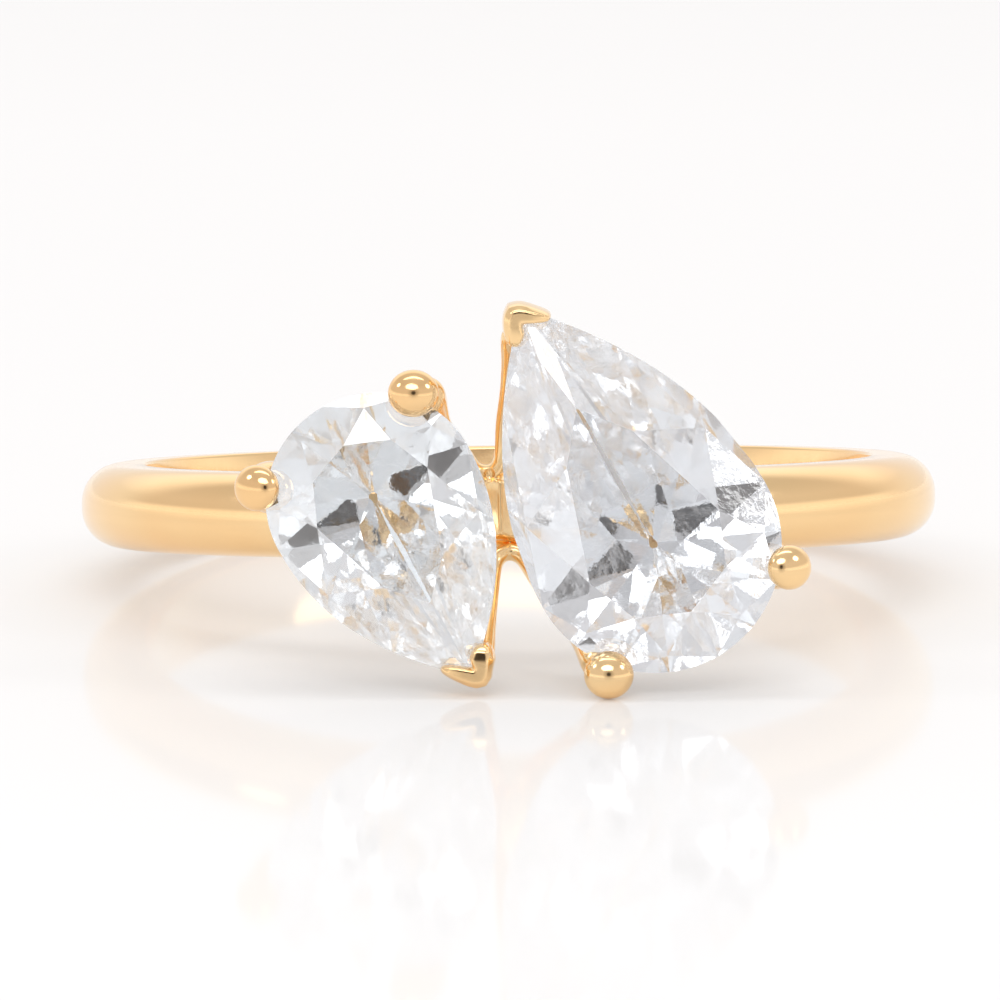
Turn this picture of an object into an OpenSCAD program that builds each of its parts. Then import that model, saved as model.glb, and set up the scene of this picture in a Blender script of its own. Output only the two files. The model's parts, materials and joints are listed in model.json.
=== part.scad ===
// Toi et moi ring: a plain half-round shank with a head that holds two pear
// brilliants side by side, tip against round end. Each stone sits in two ball
// prongs and one V prong. Millimetres, lying on its side as it rests by itself.

/* [Shank] */
// Inner diameter of the finger hole
bore_d = 16.5; // [14:0.1:22]
// Radial thickness of the shank
shank_t = 1.42; // [1.2:0.02:2]
// Width of the shank along the finger
shank_w = 1.76; // [1.4:0.02:2.6]
// Radius of the two outer corners of the section
outer_round = 0.84; // [0.4:0.02:1]
// Radius that eases the two inner edges
inner_round = 0.12; // [0.06:0.01:0.25]

/* [Small stone] */
// Width of the small stone
small_w = 4.66; // [4:0.02:5.4]
// Length of its round end, from the widest line
small_round = 2.22; // [1.8:0.02:2.7]
// Length of its pointed end, from the widest line
small_point = 4.43; // [3.6:0.02:5.2]
// Fullness of its sides towards the tip
small_full = 2.19; // [1.7:0.01:2.5]
// Height of its crown above the girdle
small_crown = 0.66; // [0.5:0.01:0.9]
// Depth of its pavilion below the girdle
small_deep = 1.98; // [1.6:0.01:2.2]
// Direction of its tip, counted from the right
small_turn = -61.8; // [-75:0.1:-50]
// Height of its centre above the middle of the shank
small_rise = 0.65; // [0:0.01:1.2]

/* [Large stone] */
// Width of the large stone
large_w = 5.5; // [4.6:0.02:6.2]
// Length of its round end, from the widest line
large_round = 2.76; // [2.2:0.02:3.2]
// Length of its pointed end, from the widest line
large_point = 5.87; // [4.8:0.02:6.6]
// Fullness of its sides towards the tip
large_full = 2.03; // [1.7:0.01:2.5]
// Height of its crown above the girdle
large_crown = 0.8; // [0.6:0.01:1]
// Depth of its pavilion below the girdle
large_deep = 2.36; // [1.9:0.01:2.6]
// Direction of its tip, counted from the right
large_turn = 118.7; // [105:0.1:130]
// Height of its centre above the middle of the shank
large_rise = -0.47; // [-1:0.01:0]

/* [Cut of the stones] */
// Thickness of the girdle below a main facet
girdle_t = 0.16; // [0.12:0.01:0.3]
// Size of the table as a share of the girdle
table_share = 0.58; // [0.5:0.01:0.66]
// Reach of the star facets, from the culet to the girdle
star_share = 0.8; // [0.74:0.01:0.88]
// Share of each pavilion main that the lower halves leave
main_share = 0.24; // [0.15:0.01:0.5]

/* [Head] */
// Distance of both girdles from the axis of the finger
girdle_out = 13; // [12.6:0.05:14.5]
// Clear strip between the upright tangents of the stones
stone_strip = 0.15; // [0.1:0.01:0.6]
// Place of that strip, counted from the middle of the shank
strip_x = -0.18; // [-0.4:0.01:0.4]
// Clearance between a stone and its seats
seat_gap = 0.04; // [0.02:0.005:0.08]

/* [Prongs] */
// Diameter of a prong where it leaves the shank
foot_d = 0.42; // [0.34:0.01:0.6]
// Diameter of a ball prong below its ball
stem_d = 0.74; // [0.6:0.01:0.86]
// Diameter of a V prong below its V
v_stem_d = 0.56; // [0.44:0.01:0.7]
// Length of the upright part below a ball or V
upright = 0.9; // [0.6:0.05:1.3]
// Radius of the bend below the upright part
bend_r = 1.1; // [0.7:0.05:1.5]
// Diameter of the largest ball
ball_d = 1; // [0.86:0.01:1.1]
// Height of a ball's centre above the girdle
ball_rise = 0.3; // [0.2:0.01:0.45]
// Place of the side prongs' feet, from the middle of the shank
side_foot = 3.2; // [2.6:0.05:3.6]
// Height of the small stone's side foot over the middle of the shank; the large stone's is as low
side_foot_rise = 0.2; // [0:0.01:0.4]

/* [V prongs] */
// Length of each arm of a V
arm_len = 0.6; // [0.5:0.01:0.9]
// Width of an arm at the corner of the V
arm_w = 0.46; // [0.34:0.01:0.5]
// Width of an arm at its end
arm_end_w = 0.24; // [0.18:0.01:0.32]
// Angle between the arms
arm_spread = 80; // [60:1:90]
// Turn of a V away from its stone's long axis
v_turn = 10; // [0:1:15]
// Place of the small stone's V, past the tip of the stone
small_v_out = 0.14; // [0:0.01:0.2]
// Place of the large stone's V, past the tip of the stone
large_v_out = 0; // [0:0.01:0.2]
// Place of the V's corner, to the side of its stone's long axis
v_side = 0.15; // [0:0.01:0.2]
// Height of the V above the girdle
v_rise = 0.42; // [0.34:0.01:0.6]
// Depth of the V below the girdle
v_deep = 0.4; // [0.3:0.01:0.7]

/* [Fork and bridge] */
// Radius of the bend that joins two prongs, to the middle of the metal
fork_r = 0.37; // [0.3:0.01:0.5]
// Centre of the upper fork, from the middle of the shank
upper_fork_x = -0.43; // [-0.6:0.01:-0.2]
// Centre of the upper fork, above the edge of the shank
upper_fork_rise = 0.48; // [0.2:0.01:0.5]
// Centre of the lower fork, from the middle of the shank
lower_fork_x = 0.03; // [-0.2:0.01:0.3]
// Centre of the lower fork, below the edge of the shank
lower_fork_drop = 0.17; // [0.1:0.01:0.4]
// Width of the bridge that carries both forks
bridge_w = 0.96; // [0.8:0.02:1.3]
// Height of its ridge over the face of the shank
bridge_rise = 0.24; // [0.15:0.01:0.4]
// Place of its ridge, from the middle of the shank
bridge_x = -0.16; // [-0.3:0.01:0.1]

/* [Hidden] */
$fn = 96;

gold = "goldenrod";
diamond = "aliceblue";

bore_r = bore_d / 2;
shank_r = bore_r + shank_t;
corner_r = min(outer_round, shank_w / 2 - 0.02, shank_t - inner_round);
corner_at = [shank_r - corner_r, shank_w / 2 - corner_r];

// A stone's sizes: width, round end, pointed end, fullness, crown, pavilion
WIDE = 0;
ROUND = 1;
POINT = 2;
FULL = 3;
CROWN = 4;
DEEP = 5;
SMALL = [small_w, small_round, small_point, small_full, small_crown, small_deep];
LARGE = [large_w, large_round, large_point, large_full, large_crown, large_deep];
MAINS = 8;
JOINT = 1.03;
OUTLINE_SIDES = 96;

// A point of the girdle outline: the tip is at 0 and the round end at 180
function pear(stone, t) =
    let (c = cos(t), half = stone[WIDE] / 2)
    c > 0 ? [stone[POINT] * c, half * (1 - pow(c, stone[FULL])) * sign(sin(t))]
          : [stone[ROUND] * c, half * sin(t)];

// The outward normal there; the tip's own facet faces straight along the stone
function pear_normal(stone, t) =
    let (c = cos(t), half = stone[WIDE] / 2)
    abs(sin(t)) < 0.001 ? [sign(c), 0] :
    unit(c > 0 ? [half * stone[FULL] * pow(c, stone[FULL] - 1), stone[POINT] * sign(sin(t))]
               : [half * c, stone[ROUND] * sin(t)]);

function unit(v) = v / norm(v);
function flat(v) = [v.x, v.y];
function turned(v, angle) = [v.x * cos(angle) - v.y * sin(angle), v.x * sin(angle) + v.y * cos(angle)];
function outline(stone) = [for (k = [0 : OUTLINE_SIDES - 1]) pear(stone, 360 * k / OUTLINE_SIDES)];
function reach(stone, turn) = max([for (p = outline(stone)) turned(p, turn).x]);

// Where the tangents at two main facets meet
function tangent_corner(stone, t1, t2) =
    let (n1 = pear_normal(stone, t1), n2 = pear_normal(stone, t2),
         d1 = n1 * pear(stone, t1), d2 = n2 * pear(stone, t2),
         det = n1.x * n2.y - n1.y * n2.x)
    [(d1 * n2.y - d2 * n1.y) / det, (n1.x * d2 - n2.x * d1) / det];

// Where the stones lie, looking at the head: x to the right, y along the finger
small_at = [strip_x - stone_strip / 2 - reach(SMALL, small_turn), small_rise];
large_at = [strip_x + stone_strip / 2 + reach(LARGE, large_turn + 180), large_rise];

function grown(stone, gap) = stone + [2 * gap, gap, gap, 0, gap, gap];
function on_head(at, turn, p) = at + turned(p, turn);

// Ball prongs: stone, its place and turn, where the prong stands round the
// outline, how far outside it and how wide its ball is, both as shares of the
// largest ball, and the prong's foot
STONE = 0;
AT = 1;
TURN = 2;
ROUND_AT = 3;
OUTSIDE = 4;
BALL = 5;
FOOT = 6;
fork_out = shank_r;
upper_fork = [upper_fork_x, shank_w / 2 + upper_fork_rise];
lower_fork = [lower_fork_x, -shank_w / 2 - lower_fork_drop];
side_out = sqrt(pow(corner_at.x + corner_r / 2, 2) - pow(side_foot, 2));
BALL_PRONGS = [
    [SMALL, small_at, small_turn, 129, 0.15, 1, [upper_fork.x - fork_r, upper_fork.y, fork_out]],
    [SMALL, small_at, small_turn, -125, 0.22, 0.96, [-side_foot, side_foot_rise, side_out]],
    [LARGE, large_at, large_turn, 132, 0.21, 0.98, [lower_fork.x + fork_r, lower_fork.y, fork_out]],
    [LARGE, large_at, large_turn, -129, 0.2, 0.92, [side_foot, -side_foot_rise, side_out]]
];
function ball_at(row) =
    let (outside = row[OUTSIDE] * ball_d * pear_normal(row[STONE], row[ROUND_AT]))
    on_head(row[AT], row[TURN], pear(row[STONE], row[ROUND_AT]) + outside);
function ball_width(row) = row[BALL] * ball_d;

// V prongs: stone, its place and turn, how far past the tip, and the prong's foot
V_OUT = 3;
V_FOOT = 4;
V_PRONGS = [
    [SMALL, small_at, small_turn, small_v_out, [lower_fork.x - fork_r, lower_fork.y, fork_out]],
    [LARGE, large_at, large_turn, large_v_out, [upper_fork.x + fork_r, upper_fork.y, fork_out]]
];
function v_corner(row, inward = 0) =
    on_head(row[AT], row[TURN], [row[STONE][POINT] + row[V_OUT], v_side] - turned([inward, 0], v_turn));
v_stem_in = (v_stem_d * JOINT - arm_w) / 2;

// How the ring lies: it touches the floor at a ball prong, a V prong and the
// back of the shank. Each place is the lowest of its rounds, seen along up.
function under(across, out, d, up) = [across.x, -out, across.y] - d / 2 * up;
function lowest(places, up) =
    let (depths = [for (p = places) p * up])
    places[search(min(depths), depths)[0]];
function ball_touch(up) =
    let (c = ball_at(BALL_PRONGS[2]), out = girdle_out + ball_rise)
    lowest([under(c, out, ball_width(BALL_PRONGS[2]), up), under(c, out - upright, stem_d * JOINT, up)], up);
function v_touch(up) =
    let (c = v_corner(V_PRONGS[0], v_stem_in), out = girdle_out - v_deep / 2)
    lowest([under(c, out, v_stem_d * JOINT, up), under(c, out - upright, v_stem_d * JOINT, up)], up);
function shank_touch(up) =
    let (side = unit(flat(up)) * corner_at.x)
    [-side.x, -side.y, -corner_at.y] - corner_r * up;
function settled(up, turns) =
    turns == 0 ? up :
    settled(unit(cross(v_touch(up) - shank_touch(up), ball_touch(up) - shank_touch(up))), turns - 1);
FIRST_GUESS = [0, -0.13, 1];
TURNS = 30;
up = settled(unit(FIRST_GUESS), TURNS);
pitch = atan2(up.y, up.z);
roll = -atan2(up.x, norm([up.y, up.z]));
height = -up * shank_touch(up);

// The ring's centre stands off the middle of its own length, because of the head
function laid_y(p) = p.y * cos(pitch) - p.z * sin(pitch);
function table_corners(stone, at, turn) =
    [for (k = [0 : MAINS - 1])
        let (c = on_head(at, turn, table_share * pear(stone, 360 * k / MAINS)))
        [c.x, -girdle_out - stone[CROWN], c.y]];
front_y = min(
    min([for (p = table_corners(SMALL, small_at, small_turn)) laid_y(p)]),
    min([for (p = table_corners(LARGE, large_at, large_turn)) laid_y(p)]),
    min([for (row = BALL_PRONGS)
        laid_y([0, -girdle_out - ball_rise, ball_at(row).y]) - ball_width(row) / 2]));
back_y = corner_at.x * cos(pitch) + corner_at.y * abs(sin(pitch)) + corner_r;
centre_y = -(front_y + back_y) / 2;

module laid() {
    translate([0, centre_y, height])
        rotate([pitch, roll, 0])
            children();
}

module on_finger_side() {
    rotate([90, 0, 0])
        children();
}

// Half-round section: two large corners outside, two eased edges inside
module shank_section() {
    intersection() {
        union() {
            for (side = [-1, 1]) {
                translate([corner_at.x, side * corner_at.y])
                    circle(r = corner_r);
                translate([bore_r + inner_round, side * (shank_w / 2 - inner_round)])
                    circle(r = inner_round);
            }
            translate([bore_r + inner_round, -shank_w / 2])
                square([corner_at.x - bore_r - inner_round, shank_w]);
            translate([bore_r, inner_round - shank_w / 2])
                square([shank_t / 2, shank_w - 2 * inner_round]);
            translate([bore_r, -corner_at.y])
                square([shank_t, 2 * corner_at.y]);
        }
        translate([bore_r, -shank_w])
            square([shank_t, 2 * shank_w]);
    }
}

module shank() {
    rotate_extrude()
        shank_section();
}

// A prong leaves its foot on a straight taper, bends and stands upright. Its
// stretches meet in rounds a little larger than the wire.
module prong(foot, head, top_d) {
    across = norm(flat(head) - flat(foot));
    rise = head.z - upright - foot.z;
    to_centre = [across - bend_r, rise];
    lean = atan2(to_centre.y, to_centre.x) - asin(bend_r / norm(to_centre));
    straight = sqrt(pow(norm(to_centre), 2) - pow(bend_r, 2));
    translate(foot)
        rotate([0, 0, atan2(head.y - foot.y, head.x - foot.x)]) {
            sphere(d = foot_d * JOINT);
            rotate([0, 90 - lean, 0]) {
                cylinder(h = straight, d1 = foot_d, d2 = top_d);
                translate([0, 0, straight])
                    sphere(d = top_d * JOINT);
            }
            translate([to_centre.x, 0, rise])
                rotate([90, 0, 0])
                    rotate([0, 0, lean - 90])
                        rotate_extrude(angle = 90 - lean)
                            translate([bend_r, 0])
                                circle(d = top_d);
            translate([across, 0, rise]) {
                sphere(d = top_d * JOINT);
                cylinder(h = upright, d = top_d);
            }
        }
}

module ball_prong(row) {
    at = ball_at(row);
    head = [at.x, at.y, girdle_out + ball_rise];
    prong(row[FOOT], head, stem_d);
    translate(head)
        sphere(d = ball_width(row));
}

// The V is two tapered arms on a round corner
module v_arm() {
    polygon([[0, -arm_w / 2], [arm_len, -arm_end_w / 2], [arm_len, arm_end_w / 2], [0, arm_w / 2]]);
    translate([arm_len, 0])
        circle(d = arm_end_w);
}

module v_prong(row) {
    at = v_corner(row);
    stem_at = v_corner(row, v_stem_in);
    top = [stem_at.x, stem_at.y, girdle_out - v_deep / 2];
    prong(row[V_FOOT], top, v_stem_d);
    translate(top)
        sphere(d = v_stem_d * JOINT);
    translate([at.x, at.y, girdle_out - v_deep])
        rotate([0, 0, row[TURN] + 180 + v_turn])
            linear_extrude(height = v_deep + v_rise) {
                circle(d = arm_w);
                for (side = [-1, 1])
                    rotate([0, 0, side * arm_spread / 2])
                        v_arm();
            }
}

// Two prongs leave the shank together in a round bend
module fork(at, opening) {
    translate([at.x, at.y, fork_out])
        rotate([0, 0, opening + 90])
            rotate_extrude(angle = 180)
                translate([fork_r, 0])
                    circle(d = foot_d);
}

// The bridge is a ridged bar across the face of the shank
module bridge() {
    low = lower_fork.y + fork_r;
    high = upper_fork.y - fork_r;
    translate([bridge_x, high, shank_r])
        rotate([90, 0, 0])
            linear_extrude(height = high - low)
                polygon([
                    [-bridge_w / 2, -shank_t / 2],
                    [bridge_w / 2, -shank_t / 2],
                    [bridge_w / 2, 0],
                    [0, bridge_rise],
                    [-bridge_w / 2, 0]
                ]);
}

// Pear brilliant: table, stars, kites and upper halves over a scalloped girdle,
// then lower halves and mains down to the culet. The crown and the pavilion run
// on past the girdle and the upright outline trims them.
function main_at(k) = 360 * k / MAINS;
function raised(p, z) = [p.x, p.y, z];

// The line in which the halves on both sides of a main facet meet
function half_line(girdle, s1, m1, s2, m2) =
    let (line = cross(cross(s1 - girdle, m1 - girdle), cross(s2 - girdle, m2 - girdle)))
    unit(line * sign(line * raised(flat(girdle), 0)));

module facets(stone, rim_z, apex_z, share, table_z) {
    side = sign(rim_z);
    skirt = stone[WIDE] / 8;
    n = MAINS;
    girdle = [for (k = [0 : n - 1]) raised(pear(stone, main_at(k)), rim_z)];
    middle = [for (k = [0 : n - 1]) raised(pear(stone, main_at(k + 0.5)), rim_z)];
    meet = [for (k = [0 : n - 1])
        raised(share * tangent_corner(stone, main_at(k), main_at(k + 1)),
            rim_z + (1 - share) * (apex_z - rim_z))];
    top = [for (k = [0 : n - 1])
        raised((apex_z - table_z) / (apex_z - rim_z) * flat(girdle[k]), table_z)];
    girdle_skirt = [for (k = [0 : n - 1])
        let (j = (k + n - 1) % n)
        girdle[k] + skirt * half_line(girdle[k], meet[j], middle[j], meet[k], middle[k])];
    middle_skirt = [for (k = [0 : n - 1]) middle[k] + skirt * unit(middle[k] - meet[k])];
    base = [for (p = concat(girdle_skirt, middle_skirt)) raised(flat(p), -side * stone[WIDE])];
    points = concat(top, meet, girdle, girdle_skirt, middle_skirt, base);
    faces = concat(
        [[for (k = [n - 1 : -1 : 0]) k]],
        [for (k = [0 : n - 1]) let (j = (k + 1) % n) [k, j, n + k]],
        [for (k = [0 : n - 1]) let (j = (k + n - 1) % n) [k, n + k, 2 * n + k, n + j]],
        [for (k = [0 : n - 1]) [2 * n + k, n + k, 4 * n + k, 3 * n + k]],
        [for (k = [0 : n - 1]) let (j = (k + 1) % n) [n + k, 2 * n + j, 3 * n + j, 4 * n + k]],
        [for (k = [0 : n - 1]) [3 * n + k, 4 * n + k, 6 * n + k, 5 * n + k]],
        [for (k = [0 : n - 1]) let (j = (k + 1) % n) [4 * n + k, 3 * n + j, 5 * n + j, 6 * n + k]],
        [[for (k = [0 : n - 1]) each [5 * n + k, 6 * n + k]]]
    );
    polyhedron(points, side > 0 ? faces : [for (f = faces) [for (k = [len(f) - 1 : -1 : 0]) f[k]]]);
}

module pear_stone(stone) {
    rim = girdle_t / 2;
    crown_apex = rim + (stone[CROWN] - rim) / (1 - table_share);
    intersection() {
        translate([0, 0, -stone[DEEP]])
            linear_extrude(height = stone[DEEP] + stone[CROWN])
                polygon(outline(stone));
        facets(stone, rim, crown_apex, star_share, stone[CROWN]);
        facets(stone, -rim, -stone[DEEP] - rim, main_share, -stone[DEEP]);
    }
}

module set_stone(stone, at, turn) {
    translate([at.x, at.y, girdle_out])
        rotate([0, 0, turn])
            pear_stone(stone);
}

module mounting() {
    color(gold)
        laid()
            difference() {
                union() {
                    shank();
                    on_finger_side() {
                        for (row = BALL_PRONGS)
                            ball_prong(row);
                        for (row = V_PRONGS)
                            v_prong(row);
                        fork(upper_fork, 90);
                        fork(lower_fork, -90);
                        bridge();
                    }
                }
                on_finger_side() {
                    set_stone(grown(SMALL, seat_gap), small_at, small_turn);
                    set_stone(grown(LARGE, seat_gap), large_at, large_turn);
                }
            }
}

module small_stone() {
    color(diamond)
        laid()
            on_finger_side()
                set_stone(SMALL, small_at, small_turn);
}

module large_stone() {
    color(diamond)
        laid()
            on_finger_side()
                set_stone(LARGE, large_at, large_turn);
}

mounting();
small_stone();
large_stone();
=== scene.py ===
# %% [markdown]
# # A toi et moi ring
#
# A toi et moi ring ("you and me") holds two stones side by side. This one has
# two pear diamonds, laid tip against round end, on a plain half-round shank of
# yellow gold. Four ball prongs and two V prongs hold them.
#
# The frame is the ring's own construction: its finger hole, where the stones
# lie and how the ring rests on a table. Everything below is fitted to it.

# %% Load the frame
import json
import math

import bpy
from mathutils import Matrix, Vector


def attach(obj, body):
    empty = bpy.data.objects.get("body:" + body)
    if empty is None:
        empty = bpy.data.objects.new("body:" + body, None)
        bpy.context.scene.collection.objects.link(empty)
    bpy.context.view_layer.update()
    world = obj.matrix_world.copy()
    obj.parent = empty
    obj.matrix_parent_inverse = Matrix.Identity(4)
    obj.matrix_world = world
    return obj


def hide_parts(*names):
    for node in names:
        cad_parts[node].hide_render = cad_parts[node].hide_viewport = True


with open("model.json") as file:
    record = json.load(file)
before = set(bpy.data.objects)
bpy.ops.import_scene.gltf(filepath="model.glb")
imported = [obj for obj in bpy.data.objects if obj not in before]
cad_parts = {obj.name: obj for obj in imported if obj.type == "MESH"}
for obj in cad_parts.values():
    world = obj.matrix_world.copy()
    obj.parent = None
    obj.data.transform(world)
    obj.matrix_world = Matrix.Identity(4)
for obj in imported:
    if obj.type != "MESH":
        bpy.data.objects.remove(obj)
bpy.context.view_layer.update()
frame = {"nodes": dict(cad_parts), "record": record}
bore = next(m for m in frame["record"]["mounts"] if m["name"] == "finger_bore")
ring_centre = Vector(bore["pos_m"])
finger_axis = Vector(bore["axis"])
bore_r = bore["dims"]["r_mm"]
print("Nodes:", sorted(frame["nodes"]), "and a finger hole of", 2 * bore_r, "mm")

# %% [markdown]
# ## The bench
#
# A goldsmith turns the work in the hand. Here the pieces are made the same
# way, on a bench of their own: one unit is one millimetre, x goes to the
# right, y along the finger, and z away from the finger towards the stones.
# Blender's tools behave better at that size than at a thousandth of it. When a
# piece is finished, it is laid on the table as the ring lies there: tipped
# forward on its prongs and scaled to metres, all of it inside the mesh.

# %% From the bench to the table
MM = 0.001
pitch = -math.asin(finger_axis.y)
roll = math.atan2(finger_axis.x, finger_axis.z)
bench_to_table = (
    Matrix.Translation(ring_centre)
    @ Matrix.Rotation(roll, 4, "Y")
    @ Matrix.Rotation(pitch, 4, "X")
    @ Matrix.Rotation(math.radians(90), 4, "X")
    @ Matrix.Scale(MM, 4)
)


def lay_on_table(piece):
    """Puts a finished piece in its place, with the object left at the origin."""
    piece.data.transform(bench_to_table)
    piece.data.update()


print("The ring is tipped by", round(math.degrees(pitch), 2), "degrees and rolled by",
      round(math.degrees(roll), 2))

# %% [markdown]
# ## Tools
#
# An operator works on whatever is selected and active, so each step first says
# what that is. The helpers below do only this, and apply a modifier.


# %% Selecting
def take(*pieces):
    """Selects these pieces alone; the first one is the active one."""
    if bpy.context.object and bpy.context.object.mode != "OBJECT":
        bpy.ops.object.mode_set(mode="OBJECT")
    bpy.ops.object.select_all(action="DESELECT")
    for piece in pieces:
        piece.select_set(True)
    bpy.context.view_layer.objects.active = pieces[0]
    return pieces[0]


def added(name):
    """The primitive that was just added, under its name."""
    piece = bpy.context.object
    piece.name = piece.data.name = name
    return piece


def edit(piece, kind="FACE"):
    """Opens a piece in edit mode, with nothing selected."""
    take(piece)
    bpy.ops.object.mode_set(mode="EDIT")
    bpy.ops.mesh.select_mode(type=kind)
    bpy.ops.mesh.select_all(action="DESELECT")


def pick(piece, kind, wanted):
    """Selects the faces, edges or vertices of a piece for which wanted is true."""
    edit(piece, kind)
    bpy.ops.object.mode_set(mode="OBJECT")
    mesh = piece.data
    for part in {"FACE": mesh.polygons, "EDGE": mesh.edges, "VERT": mesh.vertices}[kind]:
        part.select = bool(wanted(part))
    bpy.ops.object.mode_set(mode="EDIT")


def finish_with(piece, kind, **settings):
    """Adds a modifier to a piece and applies it."""
    take(piece)
    modifier = piece.modifiers.new(kind.title(), kind)
    for name, value in settings.items():
        setattr(modifier, name, value)
    bpy.ops.object.modifier_apply(modifier=modifier.name)


def close_up(distance):
    """Merges the points of the mesh in edit mode that lie this close, and turns its faces out."""
    bpy.ops.mesh.select_all(action="SELECT")
    bpy.ops.mesh.remove_doubles(threshold=distance)
    bpy.ops.mesh.normals_make_consistent(inside=False)


def count(piece):
    """How many triangles a piece has."""
    piece.data.calc_loop_triangles()
    return len(piece.data.loop_triangles)


# %% [markdown]
# ## The shank
#
# The shank is a band of half-round wire: flat inside, where it meets the
# finger, and round outside. Its section is drawn once, as a plane whose two
# outer corners get a large bevel and whose inner ones are only eased, as a
# polisher does. Spin then carries the section round the finger. A torus could
# not have the flat inside, and a bent bar would leave a seam.

# %% Spin the shank
SHANK_T = 1.44
SHANK_W = 1.86
# How far its middle lies above the middle of the hole
SHANK_UP = 0.05
# Radius of the section's corners, and the edges that make each one round
OUTER_ROUND, OUTER_EDGES = 0.86, 14
INNER_ROUND, INNER_EDGES = 0.07, 4
SHANK_STEPS = 240
# Points closer than this are one point
SAME_PLACE = 0.001
shank_r = bore_r + SHANK_T


def spun_shank():
    bpy.ops.mesh.primitive_plane_add(size=1, location=(bore_r + SHANK_T / 2, SHANK_UP, 0))
    shank = added("shank")
    shank.scale = (SHANK_T, SHANK_W, 1)
    bpy.ops.object.transform_apply(location=True, rotation=True, scale=True)
    pick(shank, "VERT", lambda v: v.co.x > bore_r + SHANK_T / 2)
    bpy.ops.mesh.bevel(affect="VERTICES", offset=OUTER_ROUND, segments=OUTER_EDGES, profile=0.5)
    pick(shank, "VERT", lambda v: v.co.x < bore_r + SAME_PLACE)
    bpy.ops.mesh.bevel(affect="VERTICES", offset=INNER_ROUND, segments=INNER_EDGES, profile=0.5)
    edit(shank)
    bpy.ops.mesh.select_all(action="SELECT")
    bpy.ops.mesh.delete(type="ONLY_FACE")
    bpy.ops.mesh.select_mode(type="EDGE")
    bpy.ops.mesh.select_all(action="SELECT")
    bpy.ops.mesh.spin(steps=SHANK_STEPS, angle=math.tau, center=(0, 0, 0), axis=(0, 1, 0))
    close_up(SAME_PLACE)
    bpy.ops.object.mode_set(mode="OBJECT")
    return shank


shank = spun_shank()
print("Shank:", count(shank), "triangles,", [round(d, 2) for d in shank.dimensions], "mm")

# %% [markdown]
# ## The wires
#
# Two bent wires carry most of the head. Each starts in a prong on one side of
# a stone, comes down to the face of the shank, turns in a narrow U and goes up
# again to the other stone. Two more wires stand on the shoulders of the shank.
#
# A wire is pulled along its route as in a drawing bench: a small ring of eight
# points is extruded to the next place, turned to the new direction and resized
# to the new width. Subdivision makes it round. A curve with a bevel would do it
# too, but extrusion leaves every section open to be widened by hand, and these
# wires swell just below their balls.
#
# With no window open, the rotate operator turns the other way, so its angle is
# given with a minus sign.

# %% Pull a wire
CAGE_SIDES = 8
# Subdivision pulls a ring of eight points in by this much
CAGE_SHRINK = 2 / 3 + math.cos(math.tau / CAGE_SIDES) / 3
WIRE_LEVELS = 3
NO_TURN = 1e-6


def turn_selected(axis, angle, centre):
    """Turns the selection about any axis."""
    bpy.ops.transform.rotate(
        value=-angle,
        orient_axis="Z",
        orient_matrix=axis.to_track_quat("Z", "Y").to_matrix(),
        center_override=centre,
    )


def pulled_wire(name, route):
    """A round wire along route, whose rows are x, y, z and the width there."""
    places = [Vector(row[:3]) for row in route]
    widths = [row[3] for row in route]
    steps = [(b - a).normalized() for a, b in zip(places, places[1:])]
    facing = [steps[0]] + [(a + b).normalized() for a, b in zip(steps, steps[1:])] + [steps[-1]]
    bpy.ops.mesh.primitive_circle_add(
        vertices=CAGE_SIDES, radius=widths[0] / 2 / CAGE_SHRINK, fill_type="NGON",
        location=places[0], rotation=facing[0].to_track_quat("Z", "Y").to_euler(),
    )
    wire = added(name)
    bpy.ops.object.transform_apply(location=True, rotation=True, scale=True)
    edit(wire)
    bpy.ops.mesh.select_all(action="SELECT")
    for i in range(1, len(places)):
        bpy.ops.mesh.extrude_region_move(
            TRANSFORM_OT_translate={"value": places[i] - places[i - 1]})
        axis = facing[i - 1].cross(facing[i])
        if axis.length > NO_TURN:
            turn_selected(axis.normalized(), facing[i - 1].angle(facing[i]), places[i])
        bpy.ops.transform.resize(value=[widths[i] / widths[i - 1]] * 3, center_override=places[i])
    bpy.ops.mesh.select_all(action="SELECT")
    bpy.ops.mesh.normals_make_consistent(inside=False)
    bpy.ops.object.mode_set(mode="OBJECT")
    finish_with(wire, "SUBSURF", levels=WIRE_LEVELS, render_levels=WIRE_LEVELS)
    return wire


# %% Route and pull the four wires
# Each row: to the right, along the finger, out from the finger, and the width
UPPER_FORK = [
    (-1.77, 2.85, 13.20, 0.82),
    (-1.74, 2.81, 12.80, 0.90),
    (-1.66, 2.60, 12.25, 0.80),
    (-1.54, 2.24, 11.55, 0.60),
    (-1.28, 1.77, 10.60, 0.43),
    (-1.04, 1.52, 10.08, 0.42),
    (-0.89, 1.29, 9.80, 0.42),
    (-0.75, 1.06, 9.68, 0.42),
    (-0.47, 0.96, 9.64, 0.42),
    (-0.20, 1.06, 9.68, 0.42),
    (-0.07, 1.34, 9.76, 0.42),
    (-0.05, 1.80, 9.96, 0.42),
    (-0.04, 2.20, 10.25, 0.41),
    (0.06, 2.80, 10.90, 0.40),
    (0.10, 3.41, 11.70, 0.40),
    (0.11, 3.75, 12.25, 0.44),
    (0.12, 4.00, 12.70, 0.48),
    (0.14, 4.20, 13.02, 0.40),
]
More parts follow.
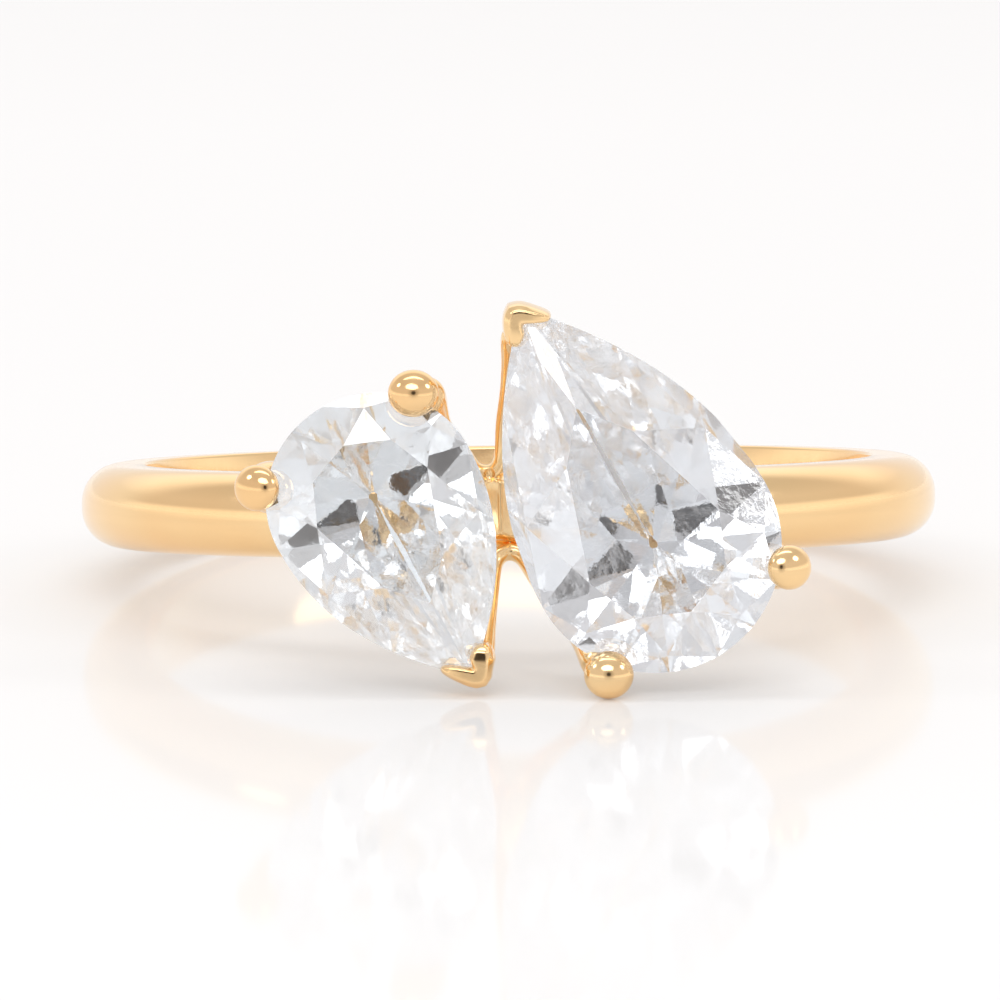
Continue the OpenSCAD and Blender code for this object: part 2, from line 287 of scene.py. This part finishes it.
LOWER_FORK = [
    (-0.66, -3.20, 13.16, 0.44),
    (-0.62, -3.00, 12.88, 0.60),
    (-0.57, -2.74, 12.30, 0.52),
    (-0.50, -2.23, 11.30, 0.42),
    (-0.43, -1.69, 10.55, 0.40),
    (-0.39, -1.30, 10.12, 0.41),
    (-0.36, -1.04, 9.86, 0.42),
    (-0.25, -0.80, 9.69, 0.42),
    (0.03, -0.68, 9.62, 0.42),
    (0.33, -0.81, 9.68, 0.42),
    (0.52, -1.12, 9.95, 0.41),
    (0.79, -1.53, 10.55, 0.43),
    (1.17, -1.97, 11.15, 0.52),
    (1.55, -2.32, 11.65, 0.68),
    (1.79, -2.62, 12.15, 0.82),
    (1.91, -2.92, 12.70, 0.86),
    (2.00, -3.10, 13.20, 0.80),
]
LEFT_SHOULDER = [
    (-2.95, 0.12, 8.35, 0.80),
    (-3.20, 0.20, 8.85, 0.62),
    (-3.60, 0.32, 9.40, 0.50),
    (-4.15, 0.50, 10.23, 0.60),
    (-4.68, 0.69, 11.10, 0.86),
    (-5.00, 0.82, 11.85, 1.10),
    (-5.12, 0.87, 12.40, 1.19),
    (-5.20, 0.88, 12.85, 1.04),
    (-5.36, 0.885, 13.22, 0.64),
]
RIGHT_SHOULDER = [
    (2.95, -0.12, 8.35, 0.80),
    (3.20, -0.20, 8.85, 0.62),
    (3.65, -0.33, 9.35, 0.50),
    (4.35, -0.54, 10.15, 0.58),
    (5.02, -0.74, 11.00, 0.78),
    (5.55, -0.91, 11.80, 0.98),
    (5.74, -0.98, 12.40, 1.04),
    (5.84, -0.99, 12.85, 0.96),
    (6.00, -0.98, 13.22, 0.62),
]
wires = [
    pulled_wire("upper_fork", UPPER_FORK),
    pulled_wire("lower_fork", LOWER_FORK),
    pulled_wire("left_shoulder", LEFT_SHOULDER),
    pulled_wire("right_shoulder", RIGHT_SHOULDER),
]
print("Wires:", {wire.name: count(wire) for wire in wires})

# %% [markdown]
# ## The balls
#
# A ball prong ends in a bead: the tip of the wire is melted until it draws up
# round, then pressed over the edge of the stone. Each bead starts as a sphere,
# scaled to its three widths. The two on the shoulders lean over their stones,
# as the place of the highlights on them shows. All are flattened a little on
# their front, where the setter burnished them.

# %% Melt the balls
BALL_OUT = 13.3
# What the setter's burnisher leaves of the front half's depth
BALL_FLAT = 0.96
# Each row: to the right, along the finger, how wide, high and deep, and its lean in degrees
BALLS = [
    (-1.995, 2.877, 1.11, 1.03, 1.00, 0),
    (-5.395, 0.885, 1.12, 1.00, 0.74, -40),
    (2.130, -3.239, 1.08, 1.04, 0.98, 0),
    (6.048, -0.976, 1.09, 0.97, 0.72, 40),
]


def melted_ball(x, y, wide, high, deep, lean):
    bpy.ops.mesh.primitive_uv_sphere_add(segments=48, ring_count=24, radius=0.5,
                                         location=(x, y, BALL_OUT),
                                         rotation=(0, math.radians(lean), 0))
    ball = added("ball")
    ball.scale = (wide, high, deep)
    bpy.ops.object.transform_apply(location=True, rotation=True, scale=True)
    pick(ball, "VERT", lambda v: v.co.z > BALL_OUT)
    bpy.ops.transform.resize(value=(1, 1, BALL_FLAT), center_override=(x, y, BALL_OUT))
    bpy.ops.object.mode_set(mode="OBJECT")
    return ball


balls = [melted_ball(*row) for row in BALLS]
print("Balls:", len(balls))

# %% [markdown]
# ## The bridge
#
# Between the two forks a short ridged bar lies on the face of the shank. It is
# a box whose top face is extruded once more and pinched to a line, shorter than
# the box at its lower end, like the hip of a roof.

# %% Raise the bridge
BRIDGE_W = 0.96
BRIDGE_RISE = 0.24
BRIDGE_X = -0.16
BRIDGE_FROM = -0.46
BRIDGE_TO = 0.86
# How much shorter the ridge is than the bar, and its width as a share of the bar's
BRIDGE_HIP = 0.15
RIDGE_SHARE = 0.02
# How far the bar reaches into the shank
BRIDGE_DEEP = 0.6


def ridged_bridge():
    length = BRIDGE_TO - BRIDGE_FROM
    middle = (BRIDGE_TO + BRIDGE_FROM) / 2
    bpy.ops.mesh.primitive_cube_add(size=1, location=(BRIDGE_X, middle, shank_r - BRIDGE_DEEP / 2))
    bridge = added("bridge")
    bridge.scale = (BRIDGE_W, length, BRIDGE_DEEP)
    bpy.ops.object.transform_apply(location=True, rotation=True, scale=True)
    pick(bridge, "FACE", lambda f: f.normal.z > 0.5)
    bpy.ops.mesh.extrude_region_move(TRANSFORM_OT_translate={"value": (0, 0, BRIDGE_RISE)})
    bpy.ops.transform.resize(value=(RIDGE_SHARE, 1 - BRIDGE_HIP / length, 1),
                             center_override=(BRIDGE_X, BRIDGE_TO, shank_r))
    bpy.ops.object.mode_set(mode="OBJECT")
    return bridge


bridge = ridged_bridge()

# %% [markdown]
# ## The V prongs
#
# The tip of a pear is its weakest place, so a V prong shields it: two short
# arms on a corner, with a flat front, a narrow inner bevel beside the stone and
# a wide slope outside that catches the light. A goldsmith files a bar to that
# section and bends it to a V. The same is done here: the section is a plane
# with its top edge pulled up and narrowed twice. It is extruded along one arm,
# fanned round the inner corner in four small turns, and extruded along the
# other arm. A bevel and a subdivision soften the edges as filing and polishing
# do.

# %% File a bar and bend it to a V
GIRDLE_OUT = 13.0
# How far below the girdle the bar begins
V_LOW = -0.42
# The filed section from its base up: height, how far it reaches to the stone and how far away
V_FILED = [(0.05, 0.20, 0.25), (0.28, 0.20, 0.21), (0.42, 0.15, 0.11)]
# The point of the section that is carried along the arms
V_SPINE = Vector((0, 0.02, V_LOW))
# Width of the softened edges, and the angle from which an edge is softened
V_EDGE = 0.02
V_SHARP = math.radians(25)
V_SAME_PLACE = 0.004
V_LEVELS = 2
# Along an arm from its tip: how far from the corner, how wide and how high the section is there
V_ARM = [(0.80, 0.16, 0.62), (0.755, 0.40, 0.84), (0.66, 0.60, 0.96), (0.46, 0.80, 1.0)]
# Round the corner: how wide the section is after each quarter of the bend
V_BEND = [1.08, 1.16, 1.08, 1.0]
# The front is filed to face a little downwards
V_NOD = math.radians(5)
# Each prong: to the right, along the finger, and for both arms where it points, how long
# and how wide it is and how far it leans over the stone
V_PRONGS = [
    (-0.613, -3.300, (163, 1.15, 1.05, 0.0), (86, 0.97, 1.65, 0.03)),
    (0.192, 4.570, (-7.8, 1.0, 0.95, 0.0), (-94.8, 0.92, 1.36, 0.05)),
]


def v_section():
    """The filed bar's section, standing across the x axis at the corner."""
    height, inner, outer = V_FILED[0]
    bpy.ops.mesh.primitive_plane_add(size=1, rotation=(0, math.pi / 2, 0))
    section = added("v_prong")
    section.scale = (height - V_LOW, inner + outer, 1)
    section.location = (0, (outer - inner) / 2, (height + V_LOW) / 2)
    bpy.ops.object.transform_apply(location=True, rotation=True, scale=True)
    pick(section, "EDGE", lambda e: all(section.data.vertices[v].co.z > 0 for v in e.vertices))
    for (h0, i0, o0), (h1, i1, o1) in zip(V_FILED, V_FILED[1:]):
        middle = (o1 - i1) / 2
        bpy.ops.mesh.extrude_region_move(
            TRANSFORM_OT_translate={"value": (0, middle - (o0 - i0) / 2, h1 - h0)})
        bpy.ops.transform.resize(value=(1, (o1 + i1) / (o0 + i0), 1),
                                 center_override=(0, middle, h1))
    return section


def sweep(rows):
    """Extrudes the section from row to row: where its spine is, how wide and how high."""
    for (p0, w0, h0), (p1, w1, h1) in zip(rows, rows[1:]):
        bpy.ops.mesh.extrude_region_move(TRANSFORM_OT_translate={"value": p1 - p0})
        bpy.ops.transform.resize(value=(w1 / w0, w1 / w0, h1 / h0), center_override=p1)


def bent_v(spread, first, second):
    """Both arms of a V. The bend turns about the inner corner."""
    prong = v_section()
    foot = V_FILED[0][1] / math.tan(spread / 2)
    inner = Vector((0, -V_FILED[0][1], 0))
    bent = Matrix.Rotation(math.pi - spread, 3, "Z")
    first_rows, second_rows = (
        [(V_SPINE + Vector((side * (long * reach - foot), -lean, 0)), wide * w, high)
         for reach, w, high in V_ARM] + [(V_SPINE, 1.0, 1.0)]
        for side, (long, wide, lean) in ((1, first), (-1, second))
    )
    bpy.ops.mesh.select_all(action="SELECT")
    start, wide, high = first_rows[0]
    bpy.ops.transform.translate(value=start - V_SPINE)
    bpy.ops.transform.resize(value=(wide, wide, high), center_override=start)
    sweep(first_rows)
    turn = (math.pi - spread) / len(V_BEND)
    for before, wide in zip([1.0] + V_BEND, V_BEND):
        bpy.ops.mesh.extrude_region_move(TRANSFORM_OT_translate={"value": (0, 0, 0)})
        bpy.ops.transform.rotate(value=-turn, orient_axis="Z", center_override=inner)
        bpy.ops.transform.resize(value=(wide / before, wide / before, 1), center_override=inner)
    sweep([(inner + bent @ (place - inner), w, high) for place, w, high in reversed(second_rows)])
    close_up(V_SAME_PLACE)
    bpy.ops.object.mode_set(mode="OBJECT")
    prong.data.transform(Matrix.Rotation(spread / 2, 4, "Z") @ Matrix.Translation((foot, 0, 0)))
    return prong


def v_prong(x, y, first, second):
    spread = math.radians(first[0] - second[0])
    turn = math.radians((first[0] + second[0]) / 2)
    prong = bent_v(spread, first[1:], second[1:])
    finish_with(prong, "BEVEL", width=V_EDGE, segments=2, limit_method="ANGLE", angle_limit=V_SHARP)
    finish_with(prong, "SUBSURF", levels=V_LEVELS, render_levels=V_LEVELS)
    prong.data.transform(Matrix.Translation((x, y, GIRDLE_OUT))
                         @ Matrix.Rotation(V_NOD, 4, "X") @ Matrix.Rotation(turn, 4, "Z"))
    return prong


v_prongs = [v_prong(*row) for row in V_PRONGS]
print("V prongs:", [count(prong) for prong in v_prongs], "triangles")

# %% [markdown]
# ## Casting the head
#
# Wires, balls, V prongs and bridge are still separate shapes that run through
# each other. On the real ring they are one casting, with small fillets where
# they meet. A voxel remesh melts them into one skin, a drop takes out the
# little hollow between the upper fork and the bridge, and two rounds of
# smoothing leave the fillets of a casting that has been tumbled and polished.
# The V prongs are filed crisp after casting, so they get a finer skin of their
# own and join the head last.

# %% Cast the head
# Size of the remesh's voxels, and rounds of smoothing
HEAD_SKIN = (0.036, 2)
V_SKIN = (0.026, 1)
# The drop between the fork and the bridge: its middle, its width and how that is stretched
HOLLOW = (-0.40, 0.97, 9.90)
HOLLOW_W = 0.30
HOLLOW_STRETCH = (0.9, 1.2, 1.0)


def melt(piece, voxel):
    finish_with(piece, "REMESH", mode="VOXEL", voxel_size=voxel, adaptivity=0)


def polish(piece, rounds):
    finish_with(piece, "SMOOTH", factor=0.5, iterations=rounds)


def join_metal(piece, other, operation="UNION"):
    """Adds another solid to a piece, or takes it away. The other one is used up."""
    finish_with(piece, "BOOLEAN", operation=operation, solver="EXACT", object=other)
    bpy.data.objects.remove(other)


def cast(name, parts, filed):
    take(*parts)
    bpy.ops.object.join()
    head = added(name)
    voxel, rounds = HEAD_SKIN
    melt(head, voxel)
    bpy.ops.mesh.primitive_uv_sphere_add(segments=24, ring_count=12, radius=HOLLOW_W / 2,
                                         location=HOLLOW)
    drop = added("drop")
    drop.scale = HOLLOW_STRETCH
    bpy.ops.object.transform_apply(location=True, rotation=True, scale=True)
    join_metal(head, drop, "DIFFERENCE")
    polish(head, rounds)
    voxel, rounds = V_SKIN
    for prong in filed:
        melt(prong, voxel)
        polish(prong, rounds)
        join_metal(head, prong)
    return head


head = cast("head", wires + balls + [bridge], v_prongs)
print("Head:", count(head), "triangles")

# %% [markdown]
# ## Soldering, and cutting the seats
#
# The head and the shank become one solid body of metal, which is what solder
# does. Then each stone gets its seat: a copy of the stone, a little
# larger by the clearance that a setter leaves, is cut out of the prongs.

# %% Solder the mounting
SEAT_GROWTH = 1.012
# Edges flatter than this look smooth
SMOOTH_BELOW = math.radians(32)
mounting = shank
join_metal(mounting, head)
print("Soldered:", count(mounting), "triangles")


def seat_cutter(stone):
    """A fattened copy of a stone, brought back to the bench."""
    cutter = frame["nodes"][stone].copy()
    cutter.data = cutter.data.copy()
    cutter.parent = None
    bpy.context.scene.collection.objects.link(cutter)
    cutter.data.transform(bench_to_table.inverted())
    edit(cutter)
    bpy.ops.mesh.select_all(action="SELECT")
    bpy.ops.mesh.remove_doubles(threshold=SAME_PLACE)
    bpy.ops.mesh.convex_hull()
    bpy.ops.mesh.normals_make_consistent(inside=False)
    corners = [v.co for v in frame["nodes"][stone].data.vertices]
    middle = bench_to_table.inverted() @ (sum(corners, Vector()) / len(corners))
    bpy.ops.transform.resize(value=[SEAT_GROWTH] * 3, center_override=middle)
    bpy.ops.object.mode_set(mode="OBJECT")
    return cutter


for stone in ("small_stone", "large_stone"):
    join_metal(mounting, seat_cutter(stone), "DIFFERENCE")

take(mounting)
bpy.ops.object.shade_smooth_by_angle(angle=SMOOTH_BELOW)
mounting.name = mounting.data.name = "cast_mounting"
lay_on_table(mounting)
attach(mounting, "root")
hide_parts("mounting")
print("Mounting:", count(mounting), "triangles")

# %% [markdown]
# ## Finishes
#
# A material is a small network of nodes. One function adds a node, sets its
# values and joins it to the nodes before it. Colours are written as on a web
# page, in sRGB, and turned to the linear values that Blender works with. A
# value that is the same all over goes on the shader's own socket.
#
# Patterns read Object coordinates, multiplied by a thousand, so every scale
# below is in millimetres.


# %% Node and colour helpers
def rgb(hex_colour):
    """An sRGB hex colour as linear RGBA."""
    parts = [int(hex_colour[i : i + 2], 16) / 255 for i in (1, 3, 5)]
    return [p / 12.92 if p <= 0.04045 else ((p + 0.055) / 1.055) ** 2.4 for p in parts] + [1]


def node(tree, kind, settings=None, **links):
    """Adds a node. Links and values are named for its sockets, with _ for a space."""
    made = tree.nodes.new(kind)
    for name, value in (settings or {}).items():
        setattr(made, name, value)
    for name, value in links.items():
        socket = next(s for s in made.inputs if s.enabled and s.name == name.replace("_", " "))
        if isinstance(value, bpy.types.NodeSocket):
            tree.links.new(value, socket)
        else:
            socket.default_value = value
    return made


def ramp_stops(ramp, stops):
    """Gives a colour ramp its stops: place, then colour."""
    elements = ramp.color_ramp.elements
    while len(elements) < len(stops):
        elements.new(1)
    for element, (place, colour) in zip(elements, stops):
        element.position = place
        element.color = colour


def new_material(name):
    """An empty material with its output, and its node tree."""
    material = bpy.data.materials.new(name)
    material.use_nodes = True
    material.node_tree.nodes.clear()
    return material, material.node_tree


def millimetres(tree):
    """Object coordinates in millimetres."""
    place = node(tree, "ShaderNodeTexCoord").outputs["Object"]
    return node(tree, "ShaderNodeMapping", Vector=place, Scale=(1 / MM,) * 3).outputs["Vector"]


def surface(tree, shader):
    node(tree, "ShaderNodeOutputMaterial", Surface=shader.outputs["BSDF"])


# %% [markdown]
# ### Polished 14 ct yellow gold
#
# Cast, tumbled and buffed on a wheel. What the eye gets is a warm mirror whose
# reflections are a little soft, because buffing leaves a surface that is even
# to the touch but gently wavy, with hairlines from wear that break up the
# highlights. Gold takes its colour in the reflection itself, so the base colour
# is the colour of what it mirrors when it faces the eye.

# %% Polished gold
GOLD = "#FCDBA7"
GOLD_WARM = "#FAD098"
GOLD_ROUGHNESS = (0.08, 0.14)
# Size and height of the waves and of the hairlines, and how the hairlines are stretched
WAVE_MM = 3.0
WAVE_HEIGHT_MM = 0.012
HAIRLINE_MM = 0.06
HAIRLINE_HEIGHT_MM = 0.0004
HAIRLINE_STRETCH = (0.2, 1.0, 0.2)
# A noise hardly ever leaves this range
NOISE_LOW, NOISE_HIGH = 0.3, 0.7


def polished_gold():
    material, tree = new_material("polished_14ct_gold")
    mm = millimetres(tree)
    waves = node(tree, "ShaderNodeTexNoise", Vector=mm, Scale=1 / WAVE_MM, Detail=1.0)
    stretched = node(tree, "ShaderNodeMapping", Vector=mm, Scale=HAIRLINE_STRETCH)
    hairlines = node(tree, "ShaderNodeTexNoise", Vector=stretched.outputs["Vector"],
                     Scale=1 / HAIRLINE_MM, Detail=3.0)
    colour = node(tree, "ShaderNodeValToRGB", Fac=waves.outputs["Fac"])
    ramp_stops(colour, [(NOISE_LOW, rgb(GOLD_WARM)), (NOISE_HIGH, rgb(GOLD))])
    smoothest, roughest = GOLD_ROUGHNESS
    gloss = node(tree, "ShaderNodeMapRange", Value=hairlines.outputs["Fac"], From_Min=NOISE_LOW,
                 From_Max=NOISE_HIGH, To_Min=smoothest, To_Max=roughest)
    wavy = node(tree, "ShaderNodeBump", Strength=1.0, Distance=WAVE_HEIGHT_MM * MM,
                Height=waves.outputs["Fac"])
    scratched = node(tree, "ShaderNodeBump", Strength=1.0, Distance=HAIRLINE_HEIGHT_MM * MM,
                     Height=hairlines.outputs["Fac"], Normal=wavy.outputs["Normal"])
    gold = node(tree, "ShaderNodeBsdfPrincipled", Base_Color=colour.outputs["Color"], Metallic=1.0,
                Roughness=gloss.outputs["Result"], Normal=scratched.outputs["Normal"])
    surface(tree, gold)
    return material


# %% [markdown]
# ### Diamond
#
# A cut and polished diamond bends light more than any other gem, so most of
# what enters through the table is turned round inside and comes out as bright
# and dark patches. Its refractive index is 2.417 and it transmits everything.
# These stones are not flawless: fine clouds inside them scatter the patches.
# Cycles can't follow light through a cloud that small, so a bump of a few
# thousandths of a millimetre bends each ray a little where it passes a facet,
# and a trace of roughness makes it hazy there. The large stone is a shade
# cooler than the small one.

# %% Diamond
DIAMOND_IOR = 2.417
SMALL_TINT = "#EDF3F8"
LARGE_TINT = "#EAEFF5"
CLOUD_MM = 0.4
CLOUD_HEIGHT_MM = 0.0038
# The clouds' thickest parts, as the noise's range, and how hazy they get
CLOUD_FROM, CLOUD_TO = 0.5, 0.8
HAZE = 0.04


def cut_diamond(name, tint):
    material, tree = new_material(name)
    mm = millimetres(tree)
    clouds = node(tree, "ShaderNodeTexNoise", Vector=mm, Scale=1 / CLOUD_MM, Detail=5.0)
    bend = node(tree, "ShaderNodeBump", Strength=1.0, Distance=CLOUD_HEIGHT_MM * MM,
                Height=clouds.outputs["Fac"])
    gloss = node(tree, "ShaderNodeMapRange", Value=clouds.outputs["Fac"],
                 From_Min=CLOUD_FROM, From_Max=CLOUD_TO, To_Min=0.0, To_Max=HAZE)
    stone = node(tree, "ShaderNodeBsdfPrincipled", Base_Color=rgb(tint), IOR=DIAMOND_IOR,
                 Transmission_Weight=1.0, Roughness=gloss.outputs["Result"],
                 Normal=bend.outputs["Normal"])
    surface(tree, stone)
    return material


# %% Give the pieces their finishes
def finish_as(piece, material):
    piece.data.materials.clear()
    piece.data.materials.append(material)


finish_as(mounting, polished_gold())
finish_as(frame["nodes"]["small_stone"], cut_diamond("near_colourless_diamond", SMALL_TINT))
finish_as(frame["nodes"]["large_stone"], cut_diamond("cool_white_diamond", LARGE_TINT))
print("Materials:", [m.name for m in bpy.data.materials])

# %% [markdown]
# ## The table, the room and the camera
#
# The ring lies on a white table in a light tent, so almost everything it
# mirrors is pale. The tent is drawn on the world: its brightness changes with
# height, and it is greyer on the side of the camera. Four lamps put the sharp
# lights into the balls.

# %% The table
TABLE_SIDE_M = 4
ACRYLIC = "#E8E8E8"
ACRYLIC_ROUGHNESS = (0.05, 0.08)
GRAIN_MM = 40
# Hardly glossy: the ring's mirror image in the table is only just seen
TABLE_IOR = 1.09
# Light from beneath, as a light table gives, so that no shadow goes grey
TABLE_GLOW = 0.12


def studio_table():
    bpy.ops.mesh.primitive_plane_add(size=TABLE_SIDE_M)
    table = added("table")
    material, tree = new_material("white_acrylic")
    mm = millimetres(tree)
    grain = node(tree, "ShaderNodeTexNoise", Vector=mm, Scale=1 / GRAIN_MM, Detail=2.0)
    smoothest, roughest = ACRYLIC_ROUGHNESS
    gloss = node(tree, "ShaderNodeMapRange", Value=grain.outputs["Fac"],
                 To_Min=smoothest, To_Max=roughest)
    acrylic = node(tree, "ShaderNodeBsdfPrincipled", Base_Color=rgb(ACRYLIC), IOR=TABLE_IOR,
                   Roughness=gloss.outputs["Result"], Emission_Color=rgb("#FFFFFF"),
                   Emission_Strength=TABLE_GLOW)
    surface(tree, acrylic)
    finish_as(table, material)


studio_table()

# %% The tent
# The ring is tipped forward, and the camera looks down on it by a little more than that
LOOK_DOWN = math.radians(2.25)
CAMERA_UP = abs(pitch) + LOOK_DOWN
towards_camera = Vector((0, -math.cos(CAMERA_UP), math.sin(CAMERA_UP)))
across = Vector((1, 0, 0))
up_in_view = across.cross(-towards_camera)
view_turn = Matrix((across, up_in_view, towards_camera)).transposed()
# The colour of the cloth at a height, from -1 straight down to 1 overhead
CLOTH_BEHIND = [(-1.0, "#FFFFFF"), (0.0, "#E6E4E3"), (0.24, "#E6E4E3"), (0.42, "#FFFFFF"),
                (1.0, "#FFFFFF")]
CLOTH_IN_FRONT = [(-1.0, "#FFFFFF"), (0.04, "#FAF8F7"), (0.13, "#D2CECD"), (0.34, "#D4D0D0"),
                  (0.7, "#C8C5C4"), (0.94, "#CECCCC"), (1.0, "#E2E2E2")]
CLOTH_GLOW = 1.2
# How far back the front cloth begins to fade, and where it has gone
FRONT_TO, BACK_FROM = 0.4, 0.76
# The camera's stand and its lens, dark against the cloth: where, seen from the ring (across,
# up, towards the camera), how many degrees to the soft edge and past it, and how dark
DARK_PATCHES = [
    ((0.0, 0.02, 1.0), 12.0, 24.0, "#B2AEAC"),
    ((0.0, 0.03, 1.0), 6.5, 10.5, "#383534"),
]


def light_tent():
    world = bpy.data.worlds.new("light_tent")
    bpy.context.scene.world = world
    world.use_nodes = True
    tree = world.node_tree
    tree.nodes.clear()
    away = node(tree, "ShaderNodeTexCoord").outputs["Generated"]
    parts = node(tree, "ShaderNodeSeparateXYZ", Vector=away)
    height = node(tree, "ShaderNodeMapRange", Value=parts.outputs["Z"], From_Min=-1.0, From_Max=1.0)
    cloths = []
    for stops in (CLOTH_BEHIND, CLOTH_IN_FRONT):
        cloth = node(tree, "ShaderNodeValToRGB", Fac=height.outputs["Result"])
        ramp_stops(cloth, [((z + 1) / 2, rgb(colour)) for z, colour in stops])
        cloths.append(cloth.outputs["Color"])
    front = node(tree, "ShaderNodeMapRange", {"interpolation_type": "SMOOTHSTEP"},
                 Value=parts.outputs["Y"], From_Min=BACK_FROM, From_Max=FRONT_TO)
    room = node(tree, "ShaderNodeMix", {"data_type": "RGBA"}, Factor=front.outputs["Result"],
                A=cloths[0], B=cloths[1])
    for place, inner, outer, colour in DARK_PATCHES:
        facing = node(tree, "ShaderNodeVectorMath", {"operation": "DOT_PRODUCT"})
        tree.links.new(away, facing.inputs[0])
        facing.inputs[1].default_value = (view_turn @ Vector(place)).normalized()
        inside = node(tree, "ShaderNodeMapRange", Value=facing.outputs["Value"],
                      From_Min=math.cos(math.radians(outer)),
                      From_Max=math.cos(math.radians(inner)))
        room = node(tree, "ShaderNodeMix", {"data_type": "RGBA"}, Factor=inside.outputs["Result"],
                    A=room.outputs[2], B=rgb(colour))
    glow = node(tree, "ShaderNodeBackground", Color=room.outputs[2], Strength=CLOTH_GLOW)
    node(tree, "ShaderNodeOutputWorld", Surface=glow.outputs["Background"])


light_tent()

# %% The lamps
LAMP_FAR = 0.4
# Each lamp: where it is, seen from the ring (across, up, towards the camera), how wide and high
# it is in metres, and its power in watts
LAMPS = [
    ((-0.10, 0.48, 0.86), 0.34, 0.18, 0.34),
    ((-0.81, 0.53, 0.24), 0.10, 0.10, 0.08),
    ((0.80, 0.48, 0.36), 0.13, 0.12, 0.11),
    ((0.0, 0.97, 0.20), 0.50, 0.08, 0.20),
]


def lamp(place, wide, high, watts):
    away = (view_turn @ Vector(place)).normalized()
    bpy.ops.object.light_add(type="AREA", location=ring_centre + LAMP_FAR * away)
    made = bpy.context.object
    made.name = made.data.name = "lamp"
    made.rotation_euler = away.to_track_quat("Z", "Y").to_euler()
    made.data.shape = "ELLIPSE"
    made.data.size = wide
    made.data.size_y = high
    made.data.energy = watts


for row in LAMPS:
    lamp(*row)

# %% The camera
# A long lens a quarter of a metre away, as for a catalogue
SENSOR_MM = 36
LENS_MM = 396
DISTANCE = 0.25
# The middle of the picture lies this far to the left of the ring's middle, and above it
AIM_LEFT = 0.193 * MM
AIM_UP = 0.034 * MM


def catalogue_camera():
    bpy.ops.object.camera_add()
    camera = bpy.context.object
    camera.name = camera.data.name = "camera"
    camera.matrix_world = view_turn.to_4x4()
    camera.location = (ring_centre + DISTANCE * towards_camera
                       - AIM_LEFT * across + AIM_UP * up_in_view)
    camera.data.sensor_width = SENSOR_MM
    camera.data.lens = LENS_MM
    camera.data.clip_start = 0.01
    camera.data.clip_end = 10
    bpy.context.scene.camera = camera


catalogue_camera()

# %% How light is followed
# A diamond turns light round many times before it lets it out
BOUNCES = 44
scene = bpy.context.scene
scene.cycles.max_bounces = BOUNCES
scene.cycles.transmission_bounces = BOUNCES
scene.cycles.glossy_bounces = BOUNCES
scene.view_settings.view_transform = "Standard"
